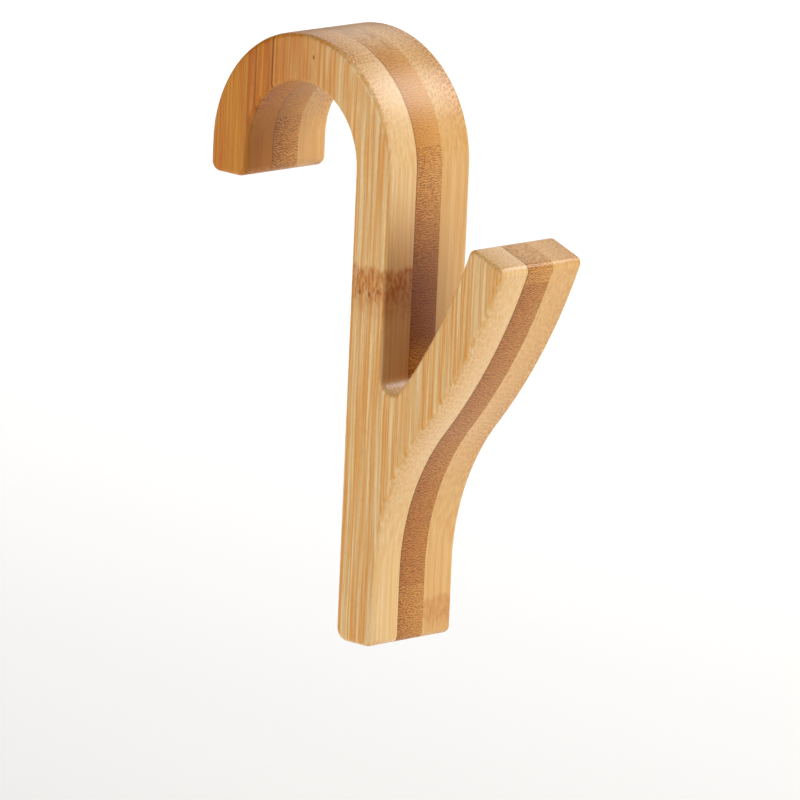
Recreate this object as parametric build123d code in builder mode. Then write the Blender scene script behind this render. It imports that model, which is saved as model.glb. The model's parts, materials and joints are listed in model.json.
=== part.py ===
"""A one-piece hook that hangs over a round towel rail, cut from a three-ply bamboo board.

The board has two face plies of upright staves and a darker core ply of slats laid across them.
+X runs along the rail, +Y points to the wall behind, +Z up. The origin is the centre of the
rail seat, halfway through the board, and the arm that holds the towel points to -Y.
"""

import os

from build123d import *

# The band that the hook is cut as, in millimetres and degrees
seat_radius = 14.5  # inside of the arch, which drops over a rail about 22 across
wall = 9.25  # width of the leg, the arch, the stem and the arm
leg_length = 6.0  # the short leg behind the rail, below the seat's centre
stem_length = 89.7  # the stem in front of the rail, below the seat's centre
toe_height = 13.7  # the stem's straight front, below the arm's root
root_radius = 45.0  # the hollow curve that leads from the stem out into the arm
root_turn = 39.5
arm_radius = 118.0  # the arm's outer face, which bends slowly back upright
arm_turn = 19.6

# Rounded corners of the outline, and the sanded arrises round both faces
notch_radius = 2.7  # bottom of the towel notch, between the stem and the arm
tip_corner = 1.5
leg_corner = 2.0
toe_corner = 1.5
heel_corner = 2.5
arris_radius = 1.0

# Plies, from the left face at -X to the right face at +X
left_ply = 7.2
core_ply = 6.8
right_ply = 7.8

# Glued seams between the upright staves of the two face plies, measured along Y
left_leg_seam = 8.0  # behind the seat's centre
left_stem_seam = 1.5  # inside the seat's front edge
left_arm_seam = 10.25  # in front of the stem
right_leg_seam = 0.5  # inside the seat's back edge
right_crown_seam = 7.0  # in front of the seat's centre
right_arm_seam = 4.25  # in front of the stem
right_tip_seam = 5.1  # behind the arm's foremost point

# Glued seams between the level slats of the core ply, measured along Z
core_crown_seam = 5.0  # above the seat's centre
core_tip_seam = 6.6  # below the arm's highest point
core_fork_seam = 3.5  # above the bottom of the notch
core_fork_slat = 21.0  # height of the slat that holds the fork
core_toe_seam = 10.7  # above the stem's bottom end

board = left_ply + core_ply + right_ply
outer_radius = seat_radius + wall
arm_start = toe_height - stem_length
arm_back_radius = arm_radius - wall

# The outline, drawn with forward to the right and up to the top. The arm's back face shares its
# front face's centre, so the arm is one wall thick, and meets the stem's front at the crotch.
with BuildSketch() as outline:
    with BuildLine():
        seat_back = Line((-seat_radius, -leg_length), (-seat_radius, 0))
        seat = RadiusArc(seat_back @ 1, (seat_radius, 0), seat_radius)
        stem_back = Line(seat @ 1, (seat_radius, -stem_length))
        stem_end = Line(stem_back @ 1, (outer_radius, -stem_length))
        toe = Line(stem_end @ 1, (outer_radius, arm_start))
        root = JernArc(toe @ 1, toe % 1, root_radius, -root_turn)
        arm_front = JernArc(root @ 1, root % 1, arm_radius, arm_turn)
        arm_center = arm_front.arc_center
        arm_end = arm_front @ 1 - arm_center
        tip = Line(arm_front @ 1, arm_center + arm_end * (arm_back_radius / arm_radius))
        crotch_drop = (arm_back_radius**2 - (outer_radius - arm_center.X) ** 2) ** 0.5
        crotch = Vector(outer_radius, arm_center.Y - crotch_drop)
        arm_back = RadiusArc(tip @ 1, crotch, arm_back_radius)
        stem_front = Line(arm_back @ 1, (outer_radius, 0))
        crown = RadiusArc(stem_front @ 1, (-outer_radius, 0), -outer_radius)
        leg_back = Line(crown @ 1, (-outer_radius, -leg_length))
        leg_end = Line(leg_back @ 1, seat_back @ 0)
    make_face()
    for corner, radius in (
        (crotch, notch_radius),
        (tip @ 0, tip_corner),
        (tip @ 1, tip_corner),
        (leg_end @ 0, leg_corner),
        (leg_end @ 1, leg_corner),
        (stem_end @ 0, heel_corner),
        (stem_end @ 1, toe_corner),
    ):
        fillet(outline.vertices().sort_by_distance(corner)[0], radius)

# The rounded bottom of the notch touches the stem's front and the arm's back
notch_out = outer_radius + notch_radius - arm_center.X
notch_drop = ((arm_back_radius - notch_radius) ** 2 - notch_out**2) ** 0.5
notch_bottom = arm_center.Y - notch_drop - notch_radius
reach = (tip @ 0).X
arm_top = (tip @ 1).Y


def side_plane(x):
    """The plane of the hook's side at a place along the rail, with forward to the right."""
    return Plane(origin=(x, 0, 0), x_dir=(0, -1, 0), z_dir=(-1, 0, 0))


# Whole plies, each drawn on its right side and built towards the left
glue_left = left_ply - board / 2
glue_right = board / 2 - right_ply

with BuildPart() as left_plate:
    with BuildSketch(side_plane(glue_left)):
        add(outline.sketch)
    extrude(amount=left_ply)
    fillet(left_plate.faces().sort_by(Axis.X)[0].edges(), arris_radius)

with BuildPart() as core_plate:
    with BuildSketch(side_plane(glue_right)):
        add(outline.sketch)
    extrude(amount=core_ply)

with BuildPart() as right_plate:
    with BuildSketch(side_plane(board / 2)):
        add(outline.sketch)
    extrude(amount=right_ply)
    fillet(right_plate.faces().sort_by(Axis.X)[-1].edges(), arris_radius)

# Seams as places along Y and Z, and limits that stand one wall clear of the outline
back = outer_radius + wall
front = -reach - wall
bottom = -stem_length - wall
top = outer_radius + wall
left_front_seam = left_stem_seam - seat_radius
left_reach_seam = -outer_radius - left_arm_seam
right_back_seam = seat_radius - right_leg_seam
right_reach_seam = -outer_radius - right_arm_seam
right_end_seam = right_tip_seam - reach
tip_seam = arm_top - core_tip_seam
fork_seam = notch_bottom + core_fork_seam
shank_seam = fork_seam - core_fork_slat
toe_seam = core_toe_seam - stem_length

# Each piece is what its ply has between two places along Y and two along Z
pieces = {
    "left_leg_stave": (left_plate, (left_leg_seam, back), (bottom, top)),
    "left_crown_stave": (left_plate, (left_front_seam, left_leg_seam), (bottom, top)),
    "left_stem_stave": (left_plate, (left_reach_seam, left_front_seam), (bottom, top)),
    "left_arm_stave": (left_plate, (front, left_reach_seam), (bottom, top)),
    "right_leg_stave": (right_plate, (right_back_seam, back), (bottom, top)),
    "right_crown_stave": (right_plate, (-right_crown_seam, right_back_seam), (bottom, top)),
    "right_stem_stave": (right_plate, (right_reach_seam, -right_crown_seam), (bottom, top)),
    "right_arm_stave": (right_plate, (right_end_seam, right_reach_seam), (bottom, top)),
    "right_tip_stave": (right_plate, (front, right_end_seam), (bottom, top)),
    "core_crown_slat": (core_plate, (-outer_radius, back), (core_crown_seam, top)),
    "core_leg_slat": (core_plate, (0, back), (bottom, core_crown_seam)),
    "core_neck_slat": (core_plate, (-outer_radius, 0), (tip_seam, core_crown_seam)),
    "core_tip_slat": (core_plate, (front, -outer_radius), (tip_seam, top)),
    "core_stem_slat": (core_plate, (-outer_radius, 0), (fork_seam, tip_seam)),
    "core_arm_slat": (core_plate, (front, -outer_radius), (fork_seam, tip_seam)),
    "core_fork_slat": (core_plate, (front, 0), (shank_seam, fork_seam)),
    "core_shank_slat": (core_plate, (front, 0), (toe_seam, shank_seam)),
    "core_toe_slat": (core_plate, (front, 0), (bottom, toe_seam)),
}

os.makedirs("parts", exist_ok=True)
for name, (plate, depth, height) in pieces.items():
    with BuildPart() as piece:
        add(plate.part)
        with Locations((0, sum(depth) / 2, sum(height) / 2)):
            Box(board, depth[1] - depth[0], height[1] - height[0], mode=Mode.INTERSECT)
    piece.part.label = name
    export_step(piece.part, f"parts/{name}.step")
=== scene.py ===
import json
import math

import bpy
import numpy as np
from mathutils import Matrix, Vector
from mathutils.geometry import delaunay_2d_cdt


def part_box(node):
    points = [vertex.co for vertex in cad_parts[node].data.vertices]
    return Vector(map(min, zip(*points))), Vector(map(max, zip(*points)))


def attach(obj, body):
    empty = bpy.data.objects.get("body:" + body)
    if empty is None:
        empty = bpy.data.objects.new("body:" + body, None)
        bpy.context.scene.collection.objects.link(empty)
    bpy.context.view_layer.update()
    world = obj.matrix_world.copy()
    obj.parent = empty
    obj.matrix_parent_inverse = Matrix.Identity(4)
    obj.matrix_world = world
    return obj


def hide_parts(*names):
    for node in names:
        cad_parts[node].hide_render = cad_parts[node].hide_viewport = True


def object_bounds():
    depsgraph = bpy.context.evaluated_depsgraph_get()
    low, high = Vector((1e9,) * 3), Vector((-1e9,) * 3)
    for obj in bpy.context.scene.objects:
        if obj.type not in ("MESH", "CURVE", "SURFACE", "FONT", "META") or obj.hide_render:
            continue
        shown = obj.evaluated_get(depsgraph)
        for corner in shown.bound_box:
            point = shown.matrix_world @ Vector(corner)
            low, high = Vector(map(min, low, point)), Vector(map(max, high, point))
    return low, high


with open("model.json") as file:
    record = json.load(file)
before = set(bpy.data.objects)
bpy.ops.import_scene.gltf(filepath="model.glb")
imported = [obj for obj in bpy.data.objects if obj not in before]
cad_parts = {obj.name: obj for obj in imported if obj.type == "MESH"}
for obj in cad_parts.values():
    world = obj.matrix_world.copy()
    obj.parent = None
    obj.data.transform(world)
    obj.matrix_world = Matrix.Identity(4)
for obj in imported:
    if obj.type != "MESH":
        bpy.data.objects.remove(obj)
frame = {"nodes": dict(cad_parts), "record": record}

cadLow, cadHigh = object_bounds()
print("frame loaded:", len(frame["nodes"]), "nodes")

# Lengths are in millimetres until a mesh is made, and the mesh is in metres
metre = 0.001

# The cut band. What the frame gives is read from it, and these are the rest.
hook = {
    "toeHeight": 13.7,       # straight front of the stem below the arm's root
    "rootRadius": 45.0,      # hollow curve out of the stem
    "rootTurn": 39.5,        # degrees
    "armRadius": 118.0,      # outer face of the arm
    "armTurn": 19.6,         # degrees
    "legLength": 6.0,        # behind the rail, below the seat's centre
    "notchRadius": 2.7,
    "tipCorner": 1.5,
    "legCorner": 2.0,
    "toeCorner": 1.5,
    "heelCorner": 2.5,
    "arris": 1.0,            # sanded round of the long edges
    "arrisSteps": 7,
    "spacing": 0.25,         # between points along an edge
    "fillSpacing": 1.6,      # between points inside a flat face
    "sharpAngle": 28.0,      # degrees: edges that turn more than this stay crisp
}

seatRadius = frame["record"]["mounts"][0]["dims"]["r_mm"]
outerRadius = cadHigh.z / metre
wall = outerRadius - seatRadius
stemLength = -cadLow.z / metre
faceLeft, faceRight = cadLow.x / metre, cadHigh.x / metre
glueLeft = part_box("core_toe_slat")[0].x / metre
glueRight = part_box("core_toe_slat")[1].x / metre


runSteps = 160  # points on each straight or arc of the outline, the same at every inset


def arcPoints(center, radius, start, end):
    # centre + radius * (cos a, sin a), with a going evenly from start to end in degrees
    a = np.radians(np.linspace(start, end, runSteps, endpoint=False))
    return np.stack([center[0] + radius * np.cos(a), center[1] + radius * np.sin(a)], -1)


def straightPoints(start, end):
    # start + t * (end - start), with t going evenly from 0 to 1
    t = np.linspace(0, 1, runSteps, endpoint=False)[:, None]
    return np.array(start) + t * (np.array(end) - np.array(start))


def outline(inset):
    # The band's edge, moved into the wood by inset: x is forward, y is up, and it runs
    # anticlockwise. Hollow arcs gain the inset in radius and round ones lose it.
    inner, outer = seatRadius + inset, outerRadius - inset
    foot, legEnd = inset - stemLength, inset - hook["legLength"]
    armStart = hook["toeHeight"] - stemLength
    rootCenter = np.array([outerRadius + hook["rootRadius"], armStart])
    turn = math.radians(180 - hook["rootTurn"])
    away = np.array([math.cos(turn), math.sin(turn)])
    armCenter = rootCenter + (hook["rootRadius"] + hook["armRadius"]) * away
    armFront, armBack = hook["armRadius"] - inset, hook["armRadius"] - wall + inset
    tipAngle = hook["armTurn"] - hook["rootTurn"]

    notch = hook["notchRadius"] + inset
    notchX = outerRadius + hook["notchRadius"]
    notchReach = hook["armRadius"] - wall - hook["notchRadius"]
    notchY = armCenter[1] - math.sqrt(notchReach ** 2 - (notchX - armCenter[0]) ** 2)
    notchAngle = math.degrees(math.atan2(notchY - armCenter[1], notchX - armCenter[0]))

    # the tip's two round corners each touch the tip's straight end and one face of the arm
    corner = hook["tipCorner"]
    frontReach, backReach = hook["armRadius"] - corner, hook["armRadius"] - wall + corner
    frontSlip = math.degrees(math.asin(corner / frontReach))
    backSlip = math.degrees(math.asin(corner / backReach))
    small = corner - inset + 1e-4
    frontAngle, backAngle = tipAngle - frontSlip, tipAngle - backSlip
    frontTurn, backTurn = math.radians(frontAngle), math.radians(backAngle)
    frontCenter = armCenter + frontReach * np.array([math.cos(frontTurn), math.sin(frontTurn)])
    backCenter = armCenter + backReach * np.array([math.cos(backTurn), math.sin(backTurn)])

    legSmall = hook["legCorner"] - inset + 1e-4
    legX = (outerRadius - hook["legCorner"], seatRadius + hook["legCorner"])
    legY = hook["legCorner"] - hook["legLength"]
    heelSmall, toeSmall = hook["heelCorner"] - inset, hook["toeCorner"] - inset + 1e-4
    heel = (seatRadius + hook["heelCorner"], hook["heelCorner"] - stemLength)
    toe = (outerRadius - hook["toeCorner"], hook["toeCorner"] - stemLength)

    square = small * np.array([-math.sin(math.radians(tipAngle)), math.cos(math.radians(tipAngle))])

    return np.concatenate([
        straightPoints((-inner, legY), (-inner, 0)),
        arcPoints((0, 0), inner, 180, 0),
        straightPoints((inner, 0), (inner, heel[1])),
        arcPoints(heel, heelSmall, 180, 270),
        straightPoints((heel[0], foot), (toe[0], foot)),
        arcPoints(toe, toeSmall, -90, 0),
        straightPoints((outer, toe[1]), (outer, armStart)),
        arcPoints(rootCenter, hook["rootRadius"] + inset, 180, 180 - hook["rootTurn"]),
        arcPoints(armCenter, armFront, -hook["rootTurn"], frontAngle),
        arcPoints(frontCenter, small, frontAngle, tipAngle + 90),
        straightPoints(frontCenter + square, backCenter + square),
        arcPoints(backCenter, small, tipAngle + 90, 180 + backAngle),
        arcPoints(armCenter, armBack, backAngle, notchAngle),
        arcPoints((notchX, notchY), notch, notchAngle, -180),
        straightPoints((outer, notchY), (outer, 0)),
        arcPoints((0, 0), outer, 0, 180),
        straightPoints((-outer, 0), (-outer, legY)),
        arcPoints((-legX[0], legY), legSmall, 180, 270),
        straightPoints((-legX[0], legEnd), (-legX[1], legEnd)),
        arcPoints((-legX[1], legY), legSmall, -90, 0),
    ])


wholeEdge = outline(0)
edgeSteps = np.linalg.norm(np.roll(wholeEdge, -1, 0) - wholeEdge, axis=1)
edgeLength = edgeSteps.sum()
edgePlaces = np.cumsum(edgeSteps) - edgeSteps  # each point's length along the whole edge


def evenly(run, count):
    # the same curve with count points, evenly spaced by the length in its last column
    places = np.linspace(run[0, 2], run[-1, 2], count)
    return np.stack([np.interp(places, run[:, 2], run[:, k]) for k in (0, 1)], -1)


def cutRuns(inset, low, high):
    # The stretches of the outline inside a box, each begun and ended exactly on the box: where
    # an edge from p to q crosses a side, the crossing is p + t * (q - p) for the smallest such t.
    points = outline(inset)
    inside = ((points > low) & (points < high)).all(1)
    first = int(np.flatnonzero(inside & ~np.roll(inside, 1))[0]) - 1
    places = edgePlaces + edgeLength * (np.arange(len(points)) < first)
    points = np.roll(np.column_stack([points, places]), -first, 0)
    inside = np.roll(inside, -first)

    def crossing(p, q):
        with np.errstate(divide="ignore", invalid="ignore"):
            t = np.concatenate([(low - p[:2]) / (q - p)[:2], (high - p[:2]) / (q - p)[:2]])
        return p + t[(t > 0) & (t <= 1)].min() * (q - p)

    starts = np.flatnonzero(inside & ~np.roll(inside, 1))
    ends = np.flatnonzero(inside & ~np.roll(inside, -1))
    return [
        np.vstack([crossing(points[a], points[a - 1]), points[a:b + 1], crossing(points[b], points[b + 1])])
        for a, b in zip(starts, ends)
    ]


seamSteps = 16  # points across a seam, so that every inset has the same number


def pieceRing(inset, low, high, counts=None):
    # one piece's closed edge at an inset: its stretches of the outline, joined by straight seams
    runs = cutRuns(inset, low, high)
    if counts is None:
        counts = [max(4, int((run[-1, 2] - run[0, 2]) / hook["spacing"])) for run in runs]
    runs = [evenly(run, count) for run, count in zip(runs, counts)]
    seams = [np.linspace(a[-1], b[0], seamSteps)[1:-1] for a, b in zip(runs, runs[1:] + runs[:1])]
    return np.concatenate([part for pair in zip(runs, seams) for part in pair]), counts


def insideRing(ring, points):
    # even-odd rule: a level line leftwards from a point inside crosses the ring an odd number of times
    a, b = ring[:, None], np.roll(ring, -1, 0)[:, None]
    p = points[None]
    spans = (a[..., 1] > p[..., 1]) != (b[..., 1] > p[..., 1])
    with np.errstate(divide="ignore", invalid="ignore"):
        slope = (b[..., 0] - a[..., 0]) / (b[..., 1] - a[..., 1])
        hits = spans & (p[..., 0] < a[..., 0] + slope * (p[..., 1] - a[..., 1]))
    return hits.sum(0) % 2 == 1


def flatFill(ring):
    # a flat face: the ring's own points and a staggered grid inside them, joined by Delaunay
    step = hook["fillSpacing"]
    low, high = ring.min(0), ring.max(0)
    xs = np.arange(low[0] + step / 2, high[0], step)
    ys = np.arange(low[1] + step / 2, high[1], step * 0.866)
    gridX, gridY = np.meshgrid(xs, ys)
    gridX[1::2] += step / 2
    grid = np.stack([gridX.ravel(), gridY.ravel()], -1)
    distance = np.sqrt(((ring[:, None] - grid[None]) ** 2).sum(-1)).min(0)
    points = np.concatenate([ring, grid[insideRing(ring, grid) & (distance > step * 0.45)]])
    far = np.array([low - 9, (high[0] + 9, low[1] - 9), high + 9, (low[0] - 9, high[1] + 9)])
    edges = [(k, (k + 1) % len(ring)) for k in range(len(ring))]
    made = delaunay_2d_cdt([Vector(p) for p in (*points, *far)], edges, [], 0, 1e-7, True)
    source = np.array([ids[0] for ids in made[3]])
    triangles = source[np.array(made[2])]
    triangles = triangles[(triangles < len(points)).all(1)]
    # a triangle on the ring is inside if it runs the ring's way, and others by their middle
    ahead = np.roll(triangles, -1, 1)
    onRing = (triangles < len(ring)) & (ahead < len(ring))
    withRing = (onRing & (ahead == (triangles + 1) % len(ring))).any(1)
    against = (onRing & (triangles == (ahead + 1) % len(ring))).any(1)
    middles = insideRing(ring, points[triangles].mean(1))
    return points, triangles[withRing | (middles & ~against)]


def makeBoard(name, xGlue, xFace, low, high, rounded):
    # A closed profile carried round a closed path. The profile goes straight across the ply's
    # thickness, then round the arris by a quarter circle: inset r(1 - cos a), height r sin a.
    radius = hook["arris"] if rounded else 0.0
    side = 1 if xFace > xGlue else -1
    angles = np.linspace(0, math.pi / 2, hook["arrisSteps"]) if rounded else np.zeros(1)
    insets = radius * (1 - np.cos(angles))
    heights = xFace - side * radius * (1 - np.sin(angles))
    ring, counts = pieceRing(0, low, high)
    rings, places = [ring], [xGlue]
    for inset, height in zip(insets, heights):
        rings.append(pieceRing(inset, low, high, counts)[0])
        places.append(height)
    around = len(ring)
    verts = np.concatenate([
        np.stack([np.full(around, x), -r[:, 0], r[:, 1]], -1) for r, x in zip(rings, places)
    ])
    i = np.arange(around)
    j = (i + 1) % around
    faces = []
    for k in range(len(rings) - 1):
        a, b = k * around, (k + 1) * around
        faces += np.stack([a + i, a + j, b + j, b + i], -1).tolist()
    for ringIndex, flip in ((len(rings) - 1, False), (0, True)):
        flat, triangles = flatFill(rings[ringIndex])
        base = ringIndex * around
        extra = flat[around:]
        offset = len(verts) - around
        x = np.full(len(extra), places[ringIndex])
        verts = np.concatenate([verts, np.stack([x, -extra[:, 0], extra[:, 1]], -1)])
        for triangle in triangles:
            ids = [int(base + t if t < around else offset + t) for t in triangle]
            faces.append(ids[::-1] if flip else ids)
    if side > 0:
        faces = [face[::-1] for face in faces]
    mesh = bpy.data.meshes.new(name)
    mesh.from_pydata((verts * metre).tolist(), [], faces)
    mesh.validate()
    mesh.polygons.foreach_set("use_smooth", [True] * len(mesh.polygons))
    mesh.set_sharp_from_angle(angle=math.radians(hook["sharpAngle"]))
    piece = bpy.data.objects.new(name, mesh)
    bpy.context.scene.collection.objects.link(piece)
    return piece


def hexColor(text):
    # an sRGB hex value as linear red, green, blue and alpha
    srgb = np.array([int(text[k:k + 2], 16) for k in (0, 2, 4)]) / 255
    linear = np.where(srgb <= 0.04045, srgb / 12.92, ((srgb + 0.055) / 1.055) ** 2.4)
    return (*linear.tolist(), 1.0)


def addNode(tree, kind, inputs=None, output=0, **settings):
    # a node with its settings: an input that is a socket is linked, and anything else is its value
    made = tree.nodes.new(kind)
    for name, value in settings.items():
        setattr(made, name, value)
    for socket, value in (inputs or {}).items():
        if isinstance(value, bpy.types.NodeSocket):
            tree.links.new(value, made.inputs[socket])
        else:
            made.inputs[socket].default_value = value
    return made.outputs[output] if len(made.outputs) else made


# Bamboo split from the culm, pressed flat, planed and glued up, under a thin clear satin lacquer.
# Fibre bundles are fine lines along the grain, and brown dots on end grain, where they crowd
# under the culm's skin and thin out inwards. Lengths are millimetres.
# To the eye: pale warm straw, satin, streaked along the grain and dotted where it is cut across.
naturalBamboo = {
    "name": "satin_natural_bamboo",
    "pale": "E7C792",
    "mid": "DDB274",
    "warm": "DA943E",
    "endGround": "EBC592",
    "endSkin": "E4B57A",
    "bundle": "99561F",
    "knuckle": "B4660E",
    "dark": "7A3806",
    # painted shade for the front walls of the notch, where the arm shades them
    "scorch": "C49468",
    # Across the grain, and from skin to inside. Under the skin real bundles stand about 0.4 mm
    # apart, too fine to show, so they are drawn this coarse.
    "bundlePitch": (0.56, 0.60),
    "innerPitch": (0.80, 0.95),
    "bundleShare": (1.0, 0.10),         # how dark the bundles are at the skin, and inside
    "innerShare": (0.25, 0.45),
    "lean": 0.15,                       # rows of bundles slant this much
    "waver": 0.20,                      # and wander this far
    "lineContrast": 0.14,
    "bundleReach": (0.16, 0.50),        # from the dark middle to the edge, in cells
    "dotContrast": 1.0,
    "randomness": 0.6,
    "plainness": 0.32,                  # stripes left on faces cut square to the skin
}
# The same bamboo, steamed until its sugars brown right through, under the same lacquer.
# To the eye: toffee brown, with dark wavy rows where it is cut across.
caramelBamboo = {
    "name": "satin_caramel_bamboo",
    "pale": "DAAA6E",
    "mid": "CE9656",
    "warm": "BC7C3E",
    "endGround": "D89C50",
    "endSkin": "CA883A",
    "bundle": "763E06",
    "dark": "4A250E",
    # painted shade for the front walls of the notch, where the arm shades them
    "scorch": "B07C4C",
    "rowPitch": 0.46,                   # rows of bundles run from glue line to glue line
    "rowBend": (24.0, 12.0),            # slow bends and short ripples, in radians
    "rowShare": (1.0, 0.72),            # how dark the rows are at the skin, and inside
    "lineContrast": 0.25,
    "dotContrast": 0.85,
    "plainness": 1.0,
    "glueShare": 0.4,                   # how brown the wood is beside the glue
}


def grainSpace(tree, grain, shift):
    # board: x across the grain, y through the ply, z along the fibres, all in millimetres.
    # fibres: the same, moved to this stave's own stretch of culm and wandering slowly.
    place = addNode(tree, "ShaderNodeTexCoord", output="Object")
    turn = (0, 0, math.pi / 2) if grain == "upright" else (math.pi / 2, 0, math.pi / 2)
    board = addNode(tree, "ShaderNodeMapping", {0: place, "Rotation": turn, "Scale": (1 / metre,) * 3})
    moved = addNode(tree, "ShaderNodeVectorMath", {0: board, 1: shift}, operation="ADD")
    slow = addNode(tree, "ShaderNodeVectorMath", {0: moved, 1: (0.05, 0.05, 0.025)}, operation="MULTIPLY")
    sway = addNode(tree, "ShaderNodeTexNoise", {0: slow, "Scale": 1.0, "Detail": 2.0}, 1)
    fibres = addNode(tree, "ShaderNodeVectorMath", {0: sway, 1: (2.0, 1.4, 0), 2: moved},
                     operation="MULTIPLY_ADD")
    return board, fibres


def longGrain(tree, wood, fibres, contrast, warmth):
    # Pale and warm stripes, 0.3 to 1 mm wide and a few centimetres long, over broader patches: the
    # weighted sum of three noises stretched along the grain. Single fibres are far too fine to
    # show, so each stripe stands for a strand of them.
    total = 0.0
    layers = (((0.22, 0.22, 0.010), 0.22), ((1.25, 1.1, 0.025), 0.50), ((2.6, 2.2, 0.045), 0.75))
    for stretch, weight in layers:
        thin = addNode(tree, "ShaderNodeVectorMath", {0: fibres, 1: stretch}, operation="MULTIPLY")
        field = addNode(tree, "ShaderNodeTexNoise", {0: thin, "Scale": 1.0, "Detail": 1.5})
        offset = addNode(tree, "ShaderNodeMath", {0: field, 1: 0.5}, operation="SUBTRACT")
        total = addNode(tree, "ShaderNodeMath", {0: offset, 1: weight, 2: total}, operation="MULTIPLY_ADD")
    value = addNode(tree, "ShaderNodeMath", {0: total, 1: contrast, 2: warmth}, operation="MULTIPLY_ADD")
    color = addNode(tree, "ShaderNodeValToRGB", {0: value})
    stops = color.node.color_ramp.elements
    stops[0].position, stops[0].color = 0.38, hexColor(wood["pale"])
    stops[1].position, stops[1].color = 0.66, hexColor(wood["warm"])
    stops.new(0.5).color = hexColor(wood["mid"])
    return color


def fibreBundles(tree, wood, fibres, under):
    # flat Voronoi cells across the fibres, each with a soft dark middle that runs along them
    coarse = addNode(tree, "ShaderNodeTexNoise", {0: fibres, "Scale": 0.6, "Detail": 1.0}, 1)
    wavy = addNode(tree, "ShaderNodeVectorMath", {0: coarse, 1: (wood["waver"] * 4,) * 2 + (0,), 2: fibres},
                   operation="MULTIPLY_ADD")
    parts = addNode(tree, "ShaderNodeSeparateXYZ", {0: wavy})
    slanted = addNode(tree, "ShaderNodeMath", {0: parts.node.outputs[1], 1: wood["lean"], 2: parts},
                      operation="MULTIPLY_ADD")
    rows = addNode(tree, "ShaderNodeCombineXYZ", {
        0: slanted, 1: parts.node.outputs[1], 2: parts.node.outputs[2],
    })
    darkest = 0.0
    first, last = wood["bundleReach"]
    for pitch, share, reach in (("bundlePitch", "bundleShare", 1.0), ("innerPitch", "innerShare", 0.75)):
        size = (1 / wood[pitch][0], 1 / wood[pitch][1], 0)
        cells = addNode(tree, "ShaderNodeVectorMath", {0: rows, 1: size}, operation="MULTIPLY")
        middle = addNode(tree, "ShaderNodeTexVoronoi", {
            0: cells, "Scale": 1.0, "Randomness": wood["randomness"],
        }, voronoi_dimensions="2D")
        dot = addNode(tree, "ShaderNodeMapRange", {
            0: middle, "From Min": first, "From Max": last * reach, "To Min": 1.0, "To Max": 0.0,
        }, interpolation_type="SMOOTHSTEP")
        strength = addNode(tree, "ShaderNodeMapRange", {
            0: under, "From Max": 0.8, "To Min": wood[share][0], "To Max": wood[share][1],
        })
        shaded = addNode(tree, "ShaderNodeMath", {0: dot, 1: strength}, operation="MULTIPLY")
        darkest = addNode(tree, "ShaderNodeMath", {0: shaded, 1: darkest}, operation="MAXIMUM")
    return darkest


def fibreRows(tree, wood, fibres, under):
    # where bundles crowd into rows: a sine of the height, its phase bent by two noises,
    # cut off softly so that dark rows and pale gaps are about equally wide
    height = addNode(tree, "ShaderNodeSeparateXYZ", {0: fibres})
    perLength = 2 * math.pi / wood["rowPitch"]
    phase = addNode(tree, "ShaderNodeMath", {0: height, 1: perLength}, operation="MULTIPLY")
    for bend, stretch in zip(wood["rowBend"], ((0.30, 0.42, 0.02), (1.0, 1.0, 0.05))):
        flat = addNode(tree, "ShaderNodeVectorMath", {0: fibres, 1: stretch}, operation="MULTIPLY")
        noise = addNode(tree, "ShaderNodeTexNoise", {0: flat, "Scale": 1.0, "Detail": 1.0})
        phase = addNode(tree, "ShaderNodeMath", {0: noise, 1: bend, 2: phase}, operation="MULTIPLY_ADD")
    wave = addNode(tree, "ShaderNodeMath", {0: phase}, operation="SINE")
    fine = addNode(tree, "ShaderNodeVectorMath", {0: fibres, 1: (2.4, 2.0, 0.05)}, operation="MULTIPLY")
    breaks = addNode(tree, "ShaderNodeTexNoise", {0: fine, "Scale": 1.0, "Detail": 1.0})
    broken = addNode(tree, "ShaderNodeMath", {0: breaks, 1: 4.4, 2: wave}, operation="MULTIPLY_ADD")
    strength = addNode(tree, "ShaderNodeMapRange", {
        0: under, "From Max": 0.7, "To Min": wood["rowShare"][0], "To Max": wood["rowShare"][1],
    })
    return addNode(tree, "ShaderNodeMapRange", {
        0: broken, "From Min": 1.3, "From Max": 3.3, "To Max": strength,
    }, interpolation_type="SMOOTHSTEP")


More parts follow.
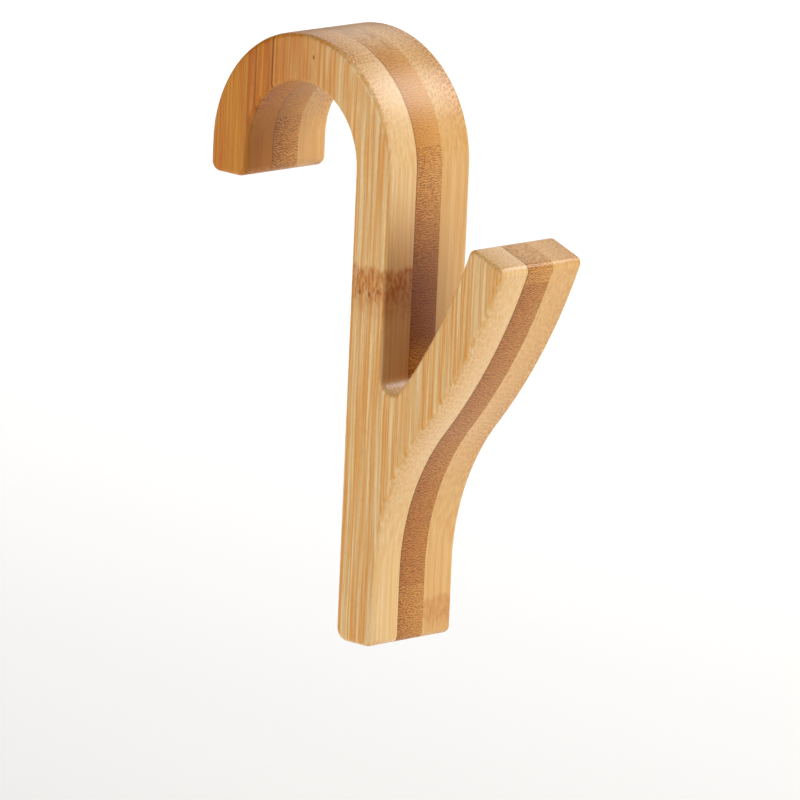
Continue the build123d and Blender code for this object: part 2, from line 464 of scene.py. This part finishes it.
def addMarks(tree, wood, board, fibres, flatness, upright, front, color, look):
    # what sets one piece apart: tone, a tint that deepens across the grain, dark lines along the grain,
    # knuckles, painted shade in the notch and pores
    across, depth, along = addNode(tree, "ShaderNodeSeparateXYZ", {0: board}).node.outputs
    color = addNode(tree, "ShaderNodeMix", {0: 1.0, 6: color, 7: hexColor(look.get("tone", "FFFFFF"))}, 2,
                    data_type="RGBA", blend_type="MULTIPLY")
    # a tint multiplied in between two places across the grain, darker and more orange towards the second
    if "stain" in look:
        first, last = look["stain"]
        share = addNode(tree, "ShaderNodeMapRange", {0: across, "From Min": first, "From Max": last})
        color = addNode(tree, "ShaderNodeMix", {0: share, 6: color, 7: hexColor(look["stainColor"])}, 2,
                        data_type="RGBA", blend_type="MULTIPLY")
    for place, halfWidth, strength in look.get("lines", []):
        away = addNode(tree, "ShaderNodeMath", {0: across, 1: place}, operation="SUBTRACT")
        gap = addNode(tree, "ShaderNodeMath", {0: away}, operation="ABSOLUTE")
        line = addNode(tree, "ShaderNodeMapRange", {
            0: gap, "From Max": halfWidth, "To Min": strength, "To Max": 0.0,
        }, interpolation_type="SMOOTHSTEP")
        share = addNode(tree, "ShaderNodeMath", {0: line, 1: flatness}, operation="MULTIPLY")
        color = addNode(tree, "ShaderNodeMix", {0: share, 6: color, 7: hexColor(wood["dark"])}, 2,
                        data_type="RGBA")
    for place, fade, strength in look.get("knuckles", []):
        # brown, mottled, with a ragged upper edge, and fading out below in short streaks
        ragged = addNode(tree, "ShaderNodeVectorMath", {0: fibres, 1: (1.0, 0.6, 0.10)},
                         operation="MULTIPLY")
        teeth = addNode(tree, "ShaderNodeTexNoise", {0: ragged, "Scale": 1.0, "Detail": 2.5})
        height = addNode(tree, "ShaderNodeMath", {0: teeth, 1: 4.0, 2: along}, operation="MULTIPLY_ADD")
        above = addNode(tree, "ShaderNodeMapRange", {
            0: height, "From Min": place + 1.2, "From Max": place + 2.6, "To Min": 1.0, "To Max": 0.0,
        }, interpolation_type="SMOOTHSTEP")
        below = addNode(tree, "ShaderNodeMapRange", {
            0: height, "From Min": place + 2 - fade, "From Max": place - 2.0, "To Max": strength,
        })
        band = addNode(tree, "ShaderNodeMath", {0: above, 1: below}, operation="MULTIPLY")
        clots = addNode(tree, "ShaderNodeVectorMath", {0: fibres, 1: (2.0, 1.5, 0.7)}, operation="MULTIPLY")
        mottle = addNode(tree, "ShaderNodeTexNoise", {0: clots, "Scale": 1.0, "Detail": 3.0})
        streak = addNode(tree, "ShaderNodeMapRange", {
            0: mottle, "From Min": 0.36, "From Max": 0.66, "To Min": 0.42, "To Max": 1.0,
        }, interpolation_type="SMOOTHSTEP")
        share = addNode(tree, "ShaderNodeMath", {0: band, 1: streak}, operation="MULTIPLY")
        color = addNode(tree, "ShaderNodeMix", {0: share, 6: color, 7: hexColor(wood["knuckle"])}, 2,
                        data_type="RGBA")
    if "scorch" in look:
        # painted shade on the front walls of the notch, where the arm shades them: darker deeper in than at
        # its mouth; without the entry they are plain
        first, last, end, strength = look["scorch"]
        deeper = addNode(tree, "ShaderNodeMapRange", {
            0: upright, "From Min": first, "From Max": last, "To Max": strength,
        }, interpolation_type="SMOOTHSTEP")
        share = addNode(tree, "ShaderNodeMapRange", {
            0: upright, "From Min": end, "From Max": end + 6.0, "To Max": deeper,
        }, interpolation_type="SMOOTHSTEP")
        faced = addNode(tree, "ShaderNodeMapRange", {
            0: front, "From Min": 0.5, "From Max": 0.95, "To Max": share,
        })
        color = addNode(tree, "ShaderNodeMix", {0: faced, 6: color, 7: hexColor(wood["scorch"])}, 2,
                        data_type="RGBA", blend_type="MULTIPLY")
    for place, radius in look.get("pores", []):
        away = addNode(tree, "ShaderNodeVectorMath", {0: board, 1: (place[0], 0, place[1])},
                       operation="SUBTRACT")
        flat = addNode(tree, "ShaderNodeVectorMath", {0: away, 1: (1 / radius, 0, 0.7 / radius)},
                       operation="MULTIPLY")
        gap = addNode(tree, "ShaderNodeVectorMath", {0: flat}, 1, operation="LENGTH")
        share = addNode(tree, "ShaderNodeMapRange", {
            0: gap, "From Min": 0.3, "From Max": 1.6, "To Min": 0.75, "To Max": 0.0,
        }, interpolation_type="SMOOTHSTEP")
        color = addNode(tree, "ShaderNodeMix", {0: share, 6: color, 7: hexColor(wood["dark"])}, 2,
                        data_type="RGBA")
    return color


def bambooMaterial(piece, wood, grain, skin, inner, look):
    # long grain on the faces along the fibres, bundles on end grain, this piece's own marks over
    # both, and a satin finish: a dull wood surface under half a coat of lacquer
    made = bpy.data.materials.new(wood["name"] + "_" + piece)
    made.use_nodes = True
    tree = made.node_tree
    tree.nodes.clear()
    board, fibres = grainSpace(tree, grain, look["shift"])
    depth = addNode(tree, "ShaderNodeSeparateXYZ", {0: board}, 1)
    under = addNode(tree, "ShaderNodeMapRange", {0: depth, "From Min": skin, "From Max": inner})

    # a face is end grain as far as its normal lies along the fibres
    normal = addNode(tree, "ShaderNodeNewGeometry", output="Normal")
    facing = addNode(tree, "ShaderNodeSeparateXYZ", {0: normal}).node.outputs
    steep = addNode(tree, "ShaderNodeMath", {0: facing[2 if grain == "upright" else 1]},
                    operation="ABSOLUTE")
    cut = addNode(tree, "ShaderNodeMapRange", {0: steep, "From Min": 0.16, "From Max": 0.75},
                  interpolation_type="SMOOTHSTEP")
    flatness = addNode(tree, "ShaderNodeMath", {0: facing[0]}, operation="ABSOLUTE")
    inside = addNode(tree, "ShaderNodeMapRange", {
        0: flatness, "From Min": 0.2, "From Max": 0.6, "To Min": 1.0, "To Max": 0.0,
    })
    endShare = addNode(tree, "ShaderNodeMath", {0: cut, 1: inside}, operation="MULTIPLY")
    stripes = addNode(tree, "ShaderNodeMapRange", {0: flatness, "To Min": wood["plainness"]})
    warmth = addNode(tree, "ShaderNodeMapRange", {0: flatness, "To Min": 0.47, "To Max": 0.54})

    drawBundles = fibreRows if "rowPitch" in wood else fibreBundles
    bundles = drawBundles(tree, wood, fibres, under)
    long = longGrain(tree, wood, fibres, stripes, warmth)
    ground = addNode(tree, "ShaderNodeMix", {
        0: under, 6: hexColor(wood["endSkin"]), 7: hexColor(wood["endGround"]),
    }, 2, data_type="RGBA")
    base = addNode(tree, "ShaderNodeMix", {0: endShare, 6: long, 7: ground}, 2, data_type="RGBA")
    contrast = addNode(tree, "ShaderNodeMapRange", {
        0: endShare, "To Min": wood["lineContrast"], "To Max": wood["dotContrast"] * look.get("dots", 1.0),
    })
    dotShare = addNode(tree, "ShaderNodeMath", {0: bundles, 1: contrast}, operation="MULTIPLY")
    dotted = addNode(tree, "ShaderNodeMix", {0: dotShare, 6: base, 7: hexColor(wood["bundle"])}, 2,
                     data_type="RGBA")
    upright = addNode(tree, "ShaderNodeSeparateXYZ", {0: board}, 2 if grain == "upright" else 0)
    front = addNode(tree, "ShaderNodeMath", {0: facing[1], 1: -1.0}, operation="MULTIPLY")
    color = addMarks(tree, wood, board, fibres, flatness, upright, front, dotted, look)
    if "glueShare" in wood:
        # the glue browned the first third of a millimetre of the core
        glue = addNode(tree, "ShaderNodeMapRange", {
            0: under, "From Min": 0.015, "From Max": 0.06, "To Min": wood["glueShare"], "To Max": 0.0,
        })
        color = addNode(tree, "ShaderNodeMix", {0: glue, 6: color, 7: hexColor(wood["dark"])}, 2,
                        data_type="RGBA")

    roughness = addNode(tree, "ShaderNodeMapRange", {0: endShare, "To Min": 0.42, "To Max": 0.5})
    bump = addNode(tree, "ShaderNodeBump", {
        "Height": bundles, "Strength": 0.3, "Distance": 0.02 * metre,
    }, invert=True)
    shader = addNode(tree, "ShaderNodeBsdfPrincipled", {
        "Base Color": color, "Roughness": roughness, "Specular IOR Level": 0.15, "Normal": bump,
        "Coat Weight": 0.5, "Coat Roughness": 0.33, "Coat IOR": 1.5,
    })
    addNode(tree, "ShaderNodeOutputMaterial", {0: shader})
    return made


# Every stave and slat: which sides of its box are glued seams, and how its grain is shifted. Then
# what marks it, in millimetres: tone multiplies its colour, dots is its share of end-grain dots,
# the tint run goes between two places across the grain, lines are (place, half width, strength), knuckles
# (height, fade, strength), pores ((across, height), radius), and the notch shade, which is painted
# shade, is where it starts, is full and stops, and its strength.
pieces = {
    "left_leg_stave": {
        "seams": "front", "shift": (4.0, 1.0, 30.0),
        # the face grows darker and more orange towards the back
        "stain": (16.0, -10.0), "stainColor": "DDAE42",
        "lines": [(-8.15, 0.5, 0.95), (-9.4, 0.7, 0.3), (-12.6, 0.45, 0.7), (-14.4, 0.9, 0.3)],
    },
    "left_crown_stave": {
        "seams": "front back", "shift": (24.0, 3.0, 90.0),
        "stain": (16.0, -10.0), "stainColor": "DDAE42",
        "pores": [((2.6, 19.7), 0.3)],
    },
    "left_stem_stave": {
        "dots": 0.6,
        "seams": "front back", "shift": (48.0, 5.0, 150.0),
        # painted shade on the front wall inside the notch, under the arm
        "scorch": (4.0, -24.0, -46.0, 0.62),
        "knuckles": [(-17.6, 10.5, 0.95)],
        "pores": [((17.2, -22.5), 0.34), ((19.7, -22.6), 0.36), ((21.9, -21.75), 0.34)],
    },
    "left_arm_stave": {"dots": 0.55, "seams": "back", "shift": (76.0, 7.0, 210.0)},
    "right_leg_stave": {"tone": "F4E8D2", "seams": "front", "shift": (104.0, 9.0, 270.0)},
    "right_crown_stave": {"tone": "F4E8D2", "seams": "front back", "shift": (132.0, 11.0, 330.0)},
    "right_stem_stave": {
        "tone": "F4E8D2",
        "seams": "front back", "shift": (160.0, 13.0, 390.0),
        "knuckles": [(-82.0, 7.0, 0.55)],
    },
    "right_arm_stave": {
        "tone": "F4E8D2", "dots": 0.75,
        "seams": "front back", "shift": (188.0, 15.0, 450.0),
    },
    "right_tip_stave": {"tone": "F4E8D2", "dots": 0.75, "seams": "back", "shift": (216.0, 17.0, 510.0)},
    "core_crown_slat": {"dots": 0.5, "seams": "below", "shift": (3.0, 2.0, 40.0)},
    "core_leg_slat": {"seams": "above", "shift": (31.0, 4.0, 95.0)},
    "core_neck_slat": {
        "seams": "above below", "shift": (31.0, 4.0, 95.0),
        # painted shade on the front wall inside the notch, under the arm
        "scorch": (2.0, -22.0, -36.0, 0.72),
    },
    "core_tip_slat": {"seams": "below", "shift": (31.0, 4.0, 95.0)},
    "core_stem_slat": {
        "seams": "above below", "shift": (59.0, 6.0, 160.0),
        # painted shade on the front wall inside the notch, under the arm
        "scorch": (2.0, -22.0, -36.0, 0.72),
    },
    "core_arm_slat": {"tone": "EADCC8", "seams": "above below", "shift": (59.0, 6.0, 160.0)},
    "core_fork_slat": {"tone": "EADCC8", "seams": "above below", "shift": (87.0, 8.0, 220.0)},
    "core_shank_slat": {"tone": "E6D4BA", "seams": "above below", "shift": (115.0, 10.0, 280.0)},
    "core_toe_slat": {"tone": "F4ECE0", "seams": "above", "shift": (143.0, 12.0, 340.0)},
}

openMargin = 2.0  # a box side that isn't a seam stands this far clear of the wood

for node, look in pieces.items():
    low, high = (np.array(corner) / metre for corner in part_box(node))
    seams = look["seams"].split()
    lowY = low[1] if "front" in seams else low[1] - openMargin
    highY = high[1] if "back" in seams else high[1] + openMargin
    lowZ = low[2] if "below" in seams else low[2] - openMargin
    highZ = high[2] if "above" in seams else high[2] + openMargin
    boxLow, boxHigh = np.array([-highY, lowZ]), np.array([-lowY, highZ])
    if node.startswith("left"):
        board = (glueLeft, faceLeft, boxLow, boxHigh, True)
        material = bambooMaterial(node, naturalBamboo, "upright", faceLeft, glueLeft, look)
    elif node.startswith("right"):
        board = (glueRight, faceRight, boxLow, boxHigh, True)
        material = bambooMaterial(node, naturalBamboo, "upright", faceRight, glueRight, look)
    else:
        board = (glueRight, glueLeft, boxLow, boxHigh, False)
        material = bambooMaterial(node, caramelBamboo, "level", glueLeft, glueRight, look)
    piece = makeBoard(node + "_wood", *board)
    piece.data.materials.append(material)
    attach(piece, "root")
    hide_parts(node)
print("boards made:", len(pieces))

studio = {
    "floorDrop": 0.055,      # floor below the hook's lowest point, which hangs clear of it
    "floorRadius": 6.0,
    "floorColor": "F7F6F4",
    "floorGlow": 0.09,       # the paper is lit from behind a little, so it stays near white
    "farGlow": 0.8,          # and more from behind further out, where the lamps don't reach
    "glowRange": (0.8, 1.7),  # metres from the hook, where the one turns into the other
    "ambient": 0.015,
    "lamps": {               # direction from the hook, distance, size, power, and an aim if it has one
        "front": ((0.24, -0.94, 0.24), 1.3, 0.8, 9.1),
        "right": ((0.70, -0.32, 0.62), 1.3, 0.6, 7.0),
        "top": ((0.55, -0.37, 0.75), 1.3, 0.6, 4.2),
        "left": ((-0.92, 0.20, 0.26), 1.3, 0.7, 9.6),
        "backdrop": ((0.66, 0.64, 0.40), 0.95, 0.9, 3.4, (0, 0, -1)),
    },
}


def makeFloor():
    # a flat disc: radius r, angle a, at (r cos a, r sin a)
    around = np.radians(np.arange(0, 360, 5))
    verts = [(0, 0, 0)]
    verts += np.stack([np.cos(around), np.sin(around), 0 * around], -1).tolist()
    verts = np.array(verts) * studio["floorRadius"]
    verts[:, 2] = cadLow.z - studio["floorDrop"]
    count = len(around)
    faces = [(0, 1 + k, 1 + (k + 1) % count) for k in range(count)]
    mesh = bpy.data.meshes.new("floor")
    mesh.from_pydata(verts.tolist(), [], faces)
    floor = bpy.data.objects.new("floor", mesh)
    bpy.context.scene.collection.objects.link(floor)
    paper = bpy.data.materials.new("matt_paper")
    paper.use_nodes = True
    tree = paper.node_tree
    tree.nodes.clear()
    place = addNode(tree, "ShaderNodeTexCoord", output="Object")
    away = addNode(tree, "ShaderNodeVectorMath", {0: place}, 1, operation="LENGTH")
    near, far = studio["glowRange"]
    glow = addNode(tree, "ShaderNodeMapRange", {
        0: away, "From Min": near, "From Max": far,
        "To Min": studio["floorGlow"], "To Max": studio["farGlow"],
    })
    shader = addNode(tree, "ShaderNodeBsdfPrincipled", {
        "Base Color": hexColor(studio["floorColor"]), "Roughness": 0.9,
        "Emission Color": hexColor("FFFFFF"), "Emission Strength": glow,
    })
    addNode(tree, "ShaderNodeOutputMaterial", {0: shader})
    mesh.materials.append(paper)


def makeLight(name, direction, distance, size, power, aim=None):
    # a soft square light that far from the hook's middle, turned to it unless it is aimed
    direction = Vector(direction).normalized()
    data = bpy.data.lights.new(name, "AREA")
    data.shape = "SQUARE"
    data.size, data.energy = size, power
    light = bpy.data.objects.new(name, data)
    bpy.context.scene.collection.objects.link(light)
    middle = (cadLow + cadHigh) / 2
    light.location = middle + direction * distance
    light.rotation_euler = Vector(aim or -direction).to_track_quat("-Z", "Y").to_euler()
    light.visible_camera = False


makeFloor()
for lamp, values in studio["lamps"].items():
    makeLight(lamp, *values)

world = bpy.data.worlds.new("studio")
bpy.context.scene.world = world
world.use_nodes = True
world.node_tree.nodes.clear()
seen = addNode(world.node_tree, "ShaderNodeLightPath", output="Is Camera Ray")
strength = addNode(world.node_tree, "ShaderNodeMapRange", {0: seen, "To Min": studio["ambient"]})
glow = addNode(world.node_tree, "ShaderNodeBackground", {0: hexColor("FFFFFF"), 1: strength})
addNode(world.node_tree, "ShaderNodeOutputWorld", {0: glow})
print("studio made")

view = {
    "azimuth": -45.764, "elevation": 11.931, "roll": 2.468,  # degrees
    "distance": 2084.5,      # to the seat's middle on the left face
    "aside": 18.81,          # the camera stands this far to its own right of that line
    "down": 45.23,           # and this far below it
    "lens": 500.47,
}


def makeCamera():
    # back is the direction from the hook to the camera, and roll turns right and up about it
    azimuth, elevation = math.radians(view["azimuth"]), math.radians(view["elevation"])
    roll = math.radians(view["roll"])
    back = Vector((
        math.sin(azimuth) * math.cos(elevation),
        -math.cos(azimuth) * math.cos(elevation),
        math.sin(elevation),
    ))
    level = Vector((0, 0, 1)).cross(back).normalized()
    upright = back.cross(level)
    right = level * math.cos(roll) + upright * math.sin(roll)
    up = upright * math.cos(roll) - level * math.sin(roll)
    seat = Vector((cadLow.x, 0, 0))
    data = bpy.data.cameras.new("camera")
    data.sensor_width, data.lens = 36.0, view["lens"]
    data.clip_start, data.clip_end = 0.05, 50
    camera = bpy.data.objects.new("camera", data)
    bpy.context.scene.collection.objects.link(camera)
    stand = seat + (back * view["distance"] + right * view["aside"] - up * view["down"]) * metre
    camera.matrix_world = Matrix.Translation(stand) @ Matrix((right, up, back)).transposed().to_4x4()
    bpy.context.scene.camera = camera
    print("camera placed")


makeCamera()
bpy.context.scene.view_settings.view_transform = "Standard"
